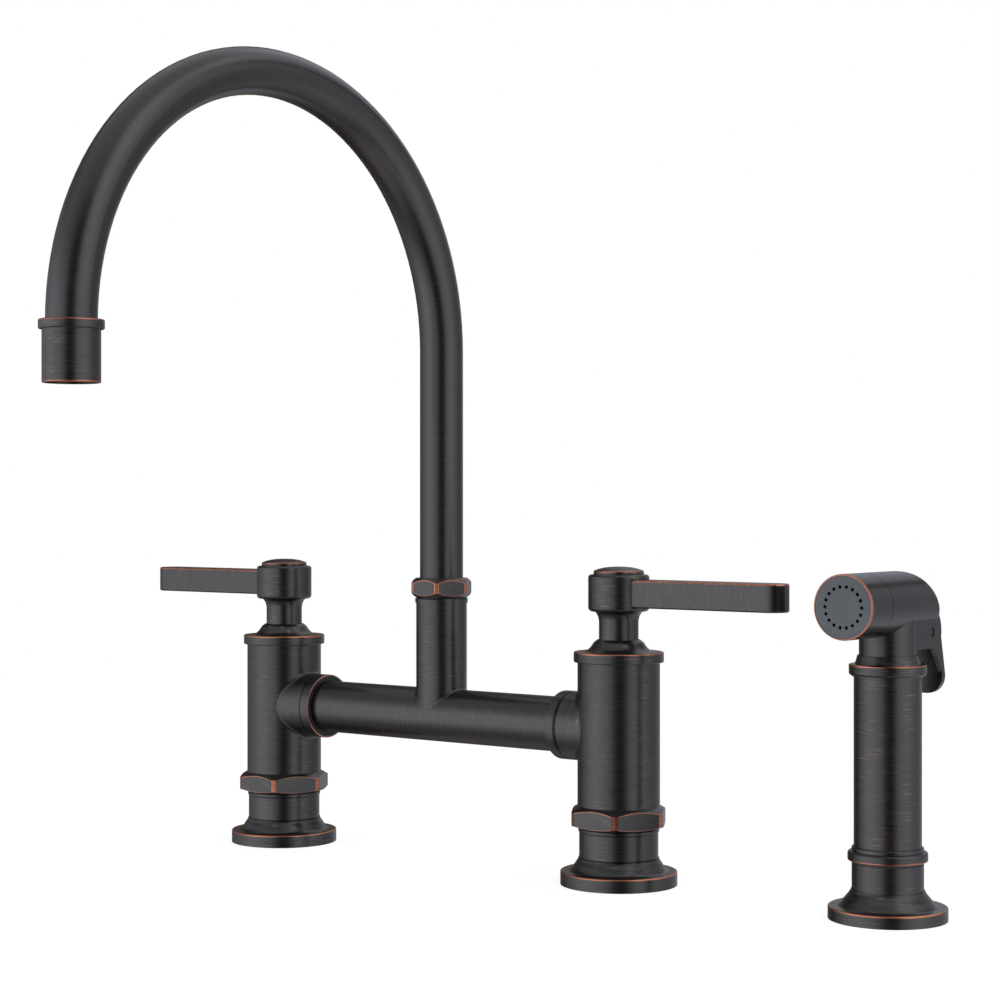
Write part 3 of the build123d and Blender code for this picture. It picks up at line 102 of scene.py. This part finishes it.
class Shading:
    """Short calls for the shader nodes in a node tree."""

    def __init__(self, tree):
        self.tree = tree

    def plug(self, value, socket):
        """A socket is linked, and a plain value is written on the socket."""
        if isinstance(value, bpy.types.NodeSocket):
            self.tree.links.new(value, socket)
        elif isinstance(value, tuple) and len(value) == 3 and socket.type == "RGBA":
            socket.default_value = (*value, 1)
        else:
            socket.default_value = value

    def math(self, operation, *values):
        node = self.tree.nodes.new("ShaderNodeMath")
        node.operation = operation
        for value, socket in zip(values, node.inputs):
            self.plug(value, socket)
        return node.outputs[0]

    def step(self, value, low, high, low_out=0.0, high_out=1.0, kind="SMOOTHSTEP"):
        """Change from low_out to high_out as value goes from low to high."""
        node = self.tree.nodes.new("ShaderNodeMapRange")
        node.interpolation_type = kind
        for given, socket in zip((value, low, high, low_out, high_out), node.inputs):
            self.plug(given, socket)
        return node.outputs[0]

    def mix(self, share, first, second, kind="RGBA"):
        node = self.tree.nodes.new("ShaderNodeMix")
        node.data_type = kind
        self.plug(share, node.inputs[0])
        low, out = (4, 1) if kind == "VECTOR" else (6, 2)  # the node's sockets for that kind
        self.plug(first, node.inputs[low])
        self.plug(second, node.inputs[low + 1])
        return node.outputs[out]

    def length(self, *sides):
        total = 0.0
        for side in sides:
            total = self.math("ADD", total, self.math("MULTIPLY", side, side))
        return self.math("SQRT", total)

    def vector(self, x, y, z):
        node = self.tree.nodes.new("ShaderNodeCombineXYZ")
        for value, socket in zip((x, y, z), node.inputs):
            self.plug(value, socket)
        return node.outputs[0]

    def point(self, centre=(0, 0, 0)):
        """Where the surface is from a centre in the row frame, as three numbers."""
        coordinates = self.tree.nodes.new("ShaderNodeTexCoord")
        node = self.tree.nodes.new("ShaderNodeVectorMath")
        node.operation = "SUBTRACT"
        self.plug(coordinates.outputs["Object"], node.inputs[0])
        node.inputs[1].default_value = centre
        split = self.tree.nodes.new("ShaderNodeSeparateXYZ")
        self.plug(node.outputs[0], split.inputs[0])
        return tuple(split.outputs)

    def noise(self, vector, detail, scale=1.0):
        node = self.tree.nodes.new("ShaderNodeTexNoise")
        self.plug(vector, node.inputs["Vector"])
        node.inputs["Scale"].default_value = scale
        node.inputs["Detail"].default_value = detail
        return node.outputs[0]

    def whiteness(self, seen, unseen):
        """Strength seen by camera, glossy and transmission rays, and another for the rest."""
        path = self.tree.nodes.new("ShaderNodeLightPath").outputs
        shown = self.math("MAXIMUM", path["Is Camera Ray"], path["Is Glossy Ray"])
        shown = self.math("MAXIMUM", shown, path["Is Transmission Ray"])
        return self.step(shown, 0, 1, unseen, seen, "LINEAR")


class Finish(Shading):
    """A material, with its shader and short calls for what goes into it."""

    def __init__(self, name, shader="ShaderNodeBsdfPrincipled"):
        self.material = bpy.data.materials.new(name)
        self.material.use_nodes = True
        super().__init__(self.material.node_tree)
        self.tree.nodes.clear()
        self.shader = self.tree.nodes.new(shader)
        output = self.tree.nodes.new("ShaderNodeOutputMaterial")
        self.plug(self.shader.outputs[0], output.inputs[0])

    def bump(self, height, depth):
        node = self.tree.nodes.new("ShaderNodeBump")
        node.inputs["Distance"].default_value = depth
        self.plug(height, node.inputs["Height"])
        self.plug(node.outputs[0], self.shader.inputs["Normal"])

    def set(self, **values):
        for name, value in values.items():
            self.plug(value, self.shader.inputs[name.replace("_", " ")])


# ---------- Places on the pieces ----------
def around(finish, u, v, along):
    radius = finish.math("MAXIMUM", finish.length(u, v), least_r)
    return Place(finish.math("DIVIDE", u, radius), finish.math("DIVIDE", v, radius), radius, along)


def turned(finish, centre, axis):
    """Place round a straight axis through centre."""
    across = list(finish.point(centre))
    along = across.pop("XYZ".index(axis))
    return around(finish, *across, along)


def column(x, y=0.0):
    """Place round an upright axis."""
    return lambda finish: turned(finish, (x, y, 0), "Z")


def level(axis, x=0.0, z=bridge_z):
    """Place round a level axis."""
    return lambda finish: turned(finish, (x, 0, z), axis)


def gooseneck(finish):
    """Place round the bent centre line of the spout."""
    x, y, z = finish.point((0, -arch_r, arch_z))
    rise = finish.math("MAXIMUM", z, 0.0)
    bend = finish.math("MULTIPLY", finish.math("ARCTAN2", rise, y), arch_r)
    drop = finish.math("MULTIPLY", finish.math("MINIMUM", z, 0.0), finish.math("SIGN", y))
    out = finish.math("SUBTRACT", finish.length(y, rise), arch_r)
    return around(finish, x, out, finish.math("ADD", bend, drop))


def lever_bar(finish):
    """Place on a lever, which is brushed across."""
    x, y, z = finish.point()
    scale = 10 * mm
    return Place(finish.math("DIVIDE", y, scale), finish.math("DIVIDE", z, scale), 0.0, x)


# ---------- Where copper or dirt shows ----------
def near(finish, gap, share, core, reach):
    """share where gap is small, 0 beyond reach."""
    return finish.step(gap, core, reach, share, 0)


def ring_wear(*rings, core=usual["core"], reach=usual["reach"]):
    """Wear on turned edges, each given as its radius and its place along the axis, in mm, and its share."""

    def wear(finish, place, rub):
        worn = 0.0
        for ring_r, ring_at, share in rings:
            gap = finish.length(
                finish.math("SUBTRACT", place.radius, ring_r * mm),
                finish.math("SUBTRACT", place.along, ring_at * mm),
            )
            worn = finish.math("MAXIMUM", worn, near(finish, finish.math("ADD", gap, rub), share, core, reach))
        return worn

    return wear


def hex_wear(flat_r, corner_r, low, top, inset):
    """Wear on a nut's corners and thin on its bevelled edges, sizes in mm.

    low and top each give a face's height, and the height and run of its bevel. inset is how far behind the
    flats a corner starts to show wear.
    """

    def wear(finish, place, rub):
        x = finish.math("MULTIPLY", place.u, place.radius)
        y = finish.math("MULTIPLY", place.v, place.radius)
        slant_x = finish.math("MULTIPLY", x, math.cos(math.radians(30)))
        slant_y = finish.math("MULTIPLY", y, math.sin(math.radians(30)))
        flat = finish.math("ABSOLUTE", y)
        for join in ("ADD", "SUBTRACT"):
            side = finish.math("ABSOLUTE", finish.math(join, slant_x, slant_y))
            flat = finish.math("MAXIMUM", flat, side)
        behind_flat = finish.math("SUBTRACT", flat_r * mm, flat)
        corner = finish.step(place.radius, *(corner_r * mm - below for below in nut_corner))
        between_flats = finish.step(behind_flat, inset * mm - nut_corner_fade, inset * mm + nut_corner_fade)
        worn = finish.math("MULTIPLY", corner, between_flats)
        cut_in = finish.math("SUBTRACT", corner_r * mm, place.radius)
        for sign, (face_z, bevel_h, bevel_run), share in ((1, top, nut_top_share), (-1, low, nut_low_share)):
            edge_z = finish.math("MULTIPLY_ADD", cut_in, sign / bevel_run, (face_z - sign * bevel_h) * mm)
            gap = finish.length(behind_flat, finish.math("SUBTRACT", place.along, edge_z))
            edge = near(finish, finish.math("ADD", gap, rub), share, **nut_edge)
            worn = finish.math("MAXIMUM", worn, edge)
        return worn

    return wear


def lever_wear(half_y, round_x, top_z):
    """Wear along a lever's upper edges and round its tip, which starts at round_x, sizes in mm."""

    def wear(finish, place, rub):
        x, y, z = finish.point()
        past = finish.math("SUBTRACT", finish.math("ABSOLUTE", x), round_x * mm)
        outline = finish.length(y, finish.math("MAXIMUM", past, 0.0))
        gap = finish.length(
            finish.math("SUBTRACT", outline, half_y * mm),
            finish.math("SUBTRACT", z, top_z * mm),
        )
        return near(finish, finish.math("MULTIPLY_ADD", rub, lever_rub, gap), 1.0, **lever_edge)

    return wear


def measured_from(place, wear):
    """The same wear, from another axis than the piece's own."""
    return lambda finish, home, rub: wear(finish, place(finish), rub)


# ---------- Finishes ----------
def stretched(finish, place, size, length, width):
    """A noise vector whose features are long round the axis and narrow along it."""
    return finish.vector(
        finish.math("MULTIPLY", place.u, size / length),
        finish.math("MULTIPLY", place.v, size / length),
        finish.math("MULTIPLY", finish.math("ADD", place.along, place.radius), 1 / width),
    )


def bronze(node, place, size, wear=None, streaks=1.0, grain=1.0, other=None, seam_and_shade=None):
    """Dark bronze, brushed round its axis, with copper in thin streaks and on worn edges.

    place gives the axis, size is the distance from it to the surface, wear builds the share of bare copper,
    streaks is how strong the copper streaks are and grain how strong the brushing is, seam builds the share of
    a dark line, which is dirt in a joint and, on the valve necks, also painted shade under the coupling nut,
    and other is a second place, its size and a test for where the brushing follows it.
    """
    finish = Finish("bronze_" + node)
    home = place(finish)
    if other:
        second_place, second_size, test = other
        away = second_place(finish)
        there = test(finish, home, away)

    def field(length, width, spread=1.0, detail=1):
        vector = stretched(finish, home, size * spread, length, width)
        if other:
            beside = stretched(finish, away, second_size * spread, length, width)
            vector = finish.mix(there, vector, beside, "VECTOR")
        return finish.noise(vector, detail=detail)

    brush = field(brush_length, brush_width, detail=3)
    fine = field(streak_length, streak_width)
    black = field(streak_length, streak_width, black_spread)
    spot = finish.vector(*finish.point())
    patch = finish.noise(spot, scale=1 / patch_size, detail=2)

    tone = finish.step(brush, *brush_range, 0.5 - 0.5 * grain, 0.5 + 0.5 * grain)
    colour = finish.mix(tone, bronze_dark, bronze_light)
    colour = finish.mix(finish.step(black, *black_range, 0, black_share * grain), colour, streak_black)
    strength = finish.step(patch, *patch_range, *patch_share)
    scratch = finish.math("MULTIPLY", finish.step(fine, *scratch_range), strength)
    colour = finish.mix(finish.math("MULTIPLY", scratch, streaks), colour, streak_copper)
    # dark line: dirt in a joint, and on the valve necks also painted shade just below the coupling nut
    if seam_and_shade:
        colour = finish.mix(seam_and_shade(finish, home, 0.0), colour, seam_and_shade_black)

    metallic = bronze_metallic
    if wear:
        cloud = finish.noise(spot, scale=1 / rub_size, detail=3)
        rub = finish.math("MULTIPLY_ADD", cloud, rub_depth, -rub_depth / 2)
        worn = wear(finish, home, rub)
        bare = finish.mix(finish.step(brush, *soft_range), dull_copper, worn_copper)
        colour = finish.mix(worn, colour, bare)
        metallic = finish.step(worn, 0, 1, bronze_metallic, 1.0)
    rough = finish.step(brush, *soft_range, *bronze_rough)
    finish.set(Base_Color=colour, Metallic=metallic, Roughness=rough)
    finish.bump(brush, brush_depth * grain)
    return finish.material


def turned_metal(name, dark, light, rough):
    """Bare machined metal with fine tool lines, round the riser's axis on every piece."""
    finish = Finish(name)
    place = turned(finish, (0, 0, 0), "Z")
    lines = finish.noise(stretched(finish, place, metal_r, tool_length, tool_width), detail=3)
    stain = finish.noise(finish.vector(*finish.point()), scale=stain_scale, detail=3)
    colour = finish.mix(finish.step(lines, *soft_range), dark, light)
    colour = finish.mix(finish.step(stain, *stain_range, 0, stain_share), colour, dark)
    roughness = finish.step(lines, *soft_range, rough, rough + metal_rough_rise)
    finish.set(Base_Color=colour, Metallic=1.0, Roughness=roughness)
    finish.bump(lines, tool_depth)
    return finish.material


def moulded(name, dark, light, rough):
    """Moulded plastic or rubber with a fine grain and slight handling marks."""
    finish = Finish(name)
    spot = finish.vector(*finish.point())
    fine = finish.noise(spot, scale=1 / grain_size, detail=3)
    cloud = finish.noise(spot, scale=mark_scale, detail=3)
    colour = finish.mix(finish.step(cloud, *soft_range), dark, light)
    colour = finish.mix(finish.step(fine, *grain_range, 0, grain_share), colour, light)
    roughness = finish.step(fine, *soft_range, rough - moulded_rough_spread, rough + moulded_rough_spread)
    finish.set(Base_Color=colour, Roughness=roughness)
    finish.bump(fine, grain_depth)
    return finish.material


# ---------- Finishes of the pieces ----------
plain = {
    "bare_brass": turned_metal("bare_brass", (0.50, 0.36, 0.17), (0.74, 0.56, 0.30), 0.24),
    "steel": turned_metal("steel", (0.42, 0.42, 0.43), (0.64, 0.64, 0.65), 0.22),
    "dark_steel": turned_metal("dark_steel", (0.030, 0.028, 0.028), (0.075, 0.07, 0.068), 0.32),
    "rubber": moulded("rubber", (0.016, 0.016, 0.016), (0.032, 0.032, 0.031), 0.66),
    "black_plastic": moulded("black_plastic", (0.014, 0.014, 0.015), (0.028, 0.028, 0.029), 0.48),
    "grey_plastic": moulded("grey_plastic", (0.066, 0.066, 0.068), (0.084, 0.084, 0.087), 0.50),
    "white_plastic": moulded("white_plastic", (0.72, 0.72, 0.69), (0.83, 0.83, 0.80), 0.42),
    "ceramic": moulded("ceramic", (0.82, 0.81, 0.78), (0.90, 0.89, 0.86), 0.14),
}

# second axis of a piece, radius round it, and where the brushing follows it
riser_part = (
    column(0),
    12 * mm,
    lambda finish, home, away: finish.math("GREATER_THAN", home.radius, 12.8 * mm),
)
head_neck = (
    column(spray_x),
    13 * mm,
    lambda finish, home, away: finish.math("LESS_THAN", away.along, head_z - 12 * mm),
)
valve_socket = (
    level("X"),
    15.5 * mm,
    lambda finish, home, away: finish.math("GREATER_THAN", home.radius, 18.6 * mm),
)

riser_nut_wear = hex_wear(13.25, 14.9, low=(124.5, 2.25, 1.18), top=(133.6, 2.25, 1.18), inset=-1.0)
coupling_wear = hex_wear(20.15, 22.45, low=(25.3, 1.4, 2.8), top=(35.0, 2.35, 1.75), inset=0.1)
outlet_wear = ring_wear((11.48, 216.4, 0.8), (12.88, 241.2, 0.65))
nose_seam = ring_wear((13.2, -20.2, 1.0), **thin)
# dark dirt line at the joint at the neck's foot, and a painted shade line just below the coupling nut
neck_seam_and_shade = ring_wear((17.75, 12.0, 0.9), (17.7, 23.35, 0.45), **foot)

# bronze pieces: axis they are brushed round, radius, wear, and what else differs
spray_post = column(spray_x)
spray_axis = level("Y", spray_x, head_z)
bronze_pieces = {
    "bridge_tee": (level("X"), 12.5 * mm, None, dict(streaks=0.6, grain=0.8, other=riser_part)),
    "riser_nut": (column(0), 14 * mm, riser_nut_wear, {}),
    "spout_tube": (gooseneck, 10.2 * mm, None, dict(streaks=0.3, grain=0.4)),
    "outlet_shell": (column(0, -2 * arch_r), 11.5 * mm, outlet_wear, {}),
    "spray_flange": (spray_post, 22 * mm, ring_wear((24.3, 5.2, 1.0)), {}),
    "spray_holder": (spray_post, 14.6 * mm, None, {}),
    "spray_tail": (spray_post, 16.3 * mm, ring_wear((16.27, 23.8, 0.9)), {}),
    "spray_grip": (spray_post, 13.75 * mm, None, dict(streaks=0.9)),
    "upper_collar": (spray_post, 15.7 * mm, ring_wear((15.75, 103.8, 1.0)), {}),
    "spray_head": (spray_axis, 13.2 * mm, None, dict(streaks=0.5, other=head_neck)),
    "spray_nose": (spray_axis, 13.2 * mm, ring_wear((13.2, -37.5, 1.0)), dict(streaks=0.5, seam_and_shade=nose_seam)),
    "spray_trigger": (level("X", 0, trigger_z), 20 * mm, None, dict(streaks=0.6)),
}
for side, sign in (("left", -1), ("right", 1)):
    post = column(sign * valve_x)
    front_wear = ring_wear((15.5, sign * 71.5, 1.0 if side == "left" else 0.25), **thin)
    union_seam = ring_wear((15.5, sign * 77.0, 1.0), **(thin if side == "left" else wide))
    socket_finish = dict(other=valve_socket, seam_and_shade=measured_from(level("X"), union_seam))
    valve_pieces = {
        "base_flange": (post, 24 * mm, ring_wear((26.0, 6.0, 1.0)), dict(seam_and_shade=neck_seam_and_shade)),
        "shank": (post, 18 * mm, None, dict(seam_and_shade=neck_seam_and_shade)),
        "coupling_nut": (post, 21 * mm, coupling_wear, {}),
        "valve_body": (post, 18.35 * mm, None, socket_finish),
        "union_ring": (level("X"), 15.5 * mm, front_wear, dict(seam_and_shade=union_seam)),
        "bonnet_cap": (post, 19 * mm, ring_wear((20.05, 103.1, 1.0)), {}),
        "handle_hub": (post, 12.5 * mm, None, {}),
        "lever": (lever_bar, 10 * mm, lever_wear(6.9, 180.7, 135.25), dict(streaks=0.7, grain=0.6)),
        "handle_button": (post, 11 * mm, ring_wear((11.2, 139.0, 0.6), **thin), {}),
    }
    bronze_pieces.update({side + "_" + name: row for name, row in valve_pieces.items()})

finishes = {row["node"]: plain.get(row["material_slot"]) for row in frame["record"]["subparts"]}
for name, (place, size, wear, options) in bronze_pieces.items():
    finishes[name] = bronze(name, place, size, wear, **options)
smooth_angle = math.radians(28)
for name, node in nodes.items():
    if finishes[name]:
        node.data.materials.clear()
        node.data.materials.append(finishes[name])
    node.data.shade_smooth()
    node.data.set_sharp_from_angle(angle=smooth_angle)

# ---------- Camera ----------
view_yaw = 37.67
camera_data = bpy.data.cameras.new("camera")
camera_data.sensor_width = 36
camera_data.lens = 79.371
camera_data.shift_y = -0.00343
camera_data.clip_start = 0.02
camera_data.clip_end = 60
camera = bpy.data.objects.new("camera", camera_data)
camera.location = (0.65872, -0.80798, 0.1720)
camera.rotation_euler = (math.radians(90), 0, math.radians(view_yaw))
scene.collection.objects.link(camera)
scene.camera = camera

# ---------- Studio ----------
studio_centre = Vector((0.03, -0.05, 0.15))
studio_r = 2.4
floor_r, floor_sides = 1.2, 96
floor_grey = (0.22, 0.22, 0.22)
toward_camera = math.radians(view_yaw - 90)  # heading from the object to the camera, from +X
# strengths seen by camera, glossy and transmission rays, and by the rest
sky_light = (1.0, 0.8)
floor_light = (0.86, 0.3)

world = bpy.data.worlds.new("studio")
world.use_nodes = True
background = world.node_tree.nodes["Background"].inputs
background["Color"].default_value = (1, 1, 1, 1)
sky = Shading(world.node_tree)
sky.plug(sky.whiteness(*sky_light), background["Strength"])
scene.world = world

# Radiance of the light wall by heading, in degrees to the right from the camera's side
wall_light = (
    (-180, 0.20),
    (-165, 0.10),
    (-150, 0.10),
    (-134, 0.35),
    (-112, 0.85),
    (-95, 1.6),
    (-82, 2.2),
    (-66, 2.3),
    (-47, 1.9),
    (-34, 1.6),
    (-24, 1.2),
    (-16, 0.55),
    (-10, 0.1),
    (-4, 0.0),
    (12, 0.0),
    (18, 0.3),
    (26, 1.2),
    (36, 1.7),
    (57, 1.9),
    (70, 1.7),
    (82, 1.2),
    (92, 0.90),
    (100, 0.66),
    (108, 0.54),
    (118, 0.50),
    (130, 0.42),
    (145, 0.42),
    (160, 0.50),
    (172, 0.30),
    (180, 0.20),
)
# share of it by height, in degrees above the studio's centre, on the left, on the right and behind on the right
left_height = ((-60, 0.25), (-42, 0.28), (-30, 0.60), (-18, 1.0), (10, 1.0), (22, 0.75), (30, 0.42), (52, 0.42))
right_height = ((-60, 0.70), (-38, 0.70), (-16, 0.9), (0, 1.0), (20, 1.0), (30, 1.15), (52, 1.15))
back_height = ((-60, 1.7), (-26, 1.7), (-14, 1.15), (0, 0.95), (14, 1.15), (26, 1.3), (34, 1.8), (44, 2.6), (52, 3.0))
behind = 90  # heading where back_height takes over
# least light at a height, from the floor and the ceiling
fill_light = ((-60, 0.38), (-46, 0.36), (-36, 0.0), (34, 0.0), (46, 0.75), (52, 0.8))
# a dark slit in the wall: where it starts and ends, its height at the start, its rise by heading, half its height
slit_start, slit_end, slit_height, slit_rise, slit_half = 84, 138, 44, -0.39, 5.5
slit_edge = 3  # how far its edge fades
# the wall's lowest and highest rows, how many rows it has, and the step between its headings, in degrees
wall_low, wall_high, wall_rows, wall_step = -60, 62, 62, 2
# tints of the dim and the bright parts of the wall, and the radiances between which they blend
warm_light, cool_light = (1.20, 0.95, 0.79), (0.93, 1.0, 1.12)
dim_light, bright_light = 0.05, 0.55


def between(table, at):
    """The value of a table of places and values, between two of its rows."""
    for (low, first), (high, second) in zip(table, table[1:]):
        if at <= high:
            return first + (second - first) * (at - low) / (high - low)
    return table[-1][1]


def within(value, low, high):
    """1 between low and high, with a soft edge."""
    return min(1.0, max(0.0, min(value - low, high - value) / slit_edge))


def glow_at(heading, rise):
    height_light = left_height if heading < 0 else right_height if heading < behind else back_height
    slit = slit_height + slit_rise * (heading - slit_start)
    dark = within(heading, slit_start, slit_end) * within(rise, slit - slit_half, slit + slit_half)
    glow = between(wall_light, heading) * between(height_light, rise) * (1 - dark)
    return max(glow, between(fill_light, rise))


def mesh_object(name, points, faces, material):
    mesh = bpy.data.meshes.new(name)
    mesh.from_pydata(points, [], faces)
    mesh.materials.append(material)
    made = bpy.data.objects.new(name, mesh)
    scene.collection.objects.link(made)
    return made


def light_wall():
    """A curved wall of soft light that mirrors see and the camera doesn't."""
    headings = range(-180, 181, wall_step)
    rises = [wall_low + (wall_high - wall_low) * row / (wall_rows - 1) for row in range(wall_rows)]
    points, glow, faces = [], [], []
    for rise in rises:
        for heading in headings:
            turn, lift = toward_camera + math.radians(heading), math.radians(rise)
            spoke = Vector((math.cos(turn) * math.cos(lift), math.sin(turn) * math.cos(lift), math.sin(lift)))
            points.append(studio_centre + studio_r * spoke)
            glow.append(glow_at(heading, rise))
    columns = len(headings)
    for row in range(wall_rows - 1):
        for column_at in range(columns - 1):
            first = row * columns + column_at
            faces.append((first, first + 1, first + columns + 1, first + columns))
    lamp = Finish("light_wall", "ShaderNodeEmission")
    seen = lamp.tree.nodes.new("ShaderNodeAttribute")
    seen.attribute_name = "glow"
    radiance = seen.outputs["Fac"]
    tint = lamp.mix(lamp.step(radiance, dim_light, bright_light), warm_light, cool_light)
    lamp.set(Color=tint, Strength=radiance)
    lamp.material.cycles.emission_sampling = "NONE"
    wall = mesh_object("light_wall", points, faces, lamp.material)
    wall.data.attributes.new("glow", "FLOAT", "POINT").data.foreach_set("value", glow)
    wall.visible_camera = False
    return wall


def floor_disc():
    """A plain white floor that keeps a soft shadow."""
    turns = [2 * math.pi * side / floor_sides for side in range(floor_sides)]
    centre_x, centre_y = studio_centre.x, studio_centre.y
    rim = [(centre_x + floor_r * math.cos(turn), centre_y + floor_r * math.sin(turn), 0) for turn in turns]
    cover = Finish("floor", "ShaderNodeAddShader")
    cloth = cover.tree.nodes.new("ShaderNodeBsdfDiffuse")
    cover.plug(floor_grey, cloth.inputs["Color"])
    light = cover.tree.nodes.new("ShaderNodeEmission")
    cover.plug(cover.whiteness(*floor_light), light.inputs["Strength"])
    for part, socket in zip((cloth, light), cover.shader.inputs):
        cover.plug(part.outputs[0], socket)
    floor = mesh_object("floor", rim, [tuple(range(floor_sides))], cover.material)
    floor.visible_glossy = False
    return floor


light_wall()
floor_disc()
scene.view_settings.view_transform = "Standard"
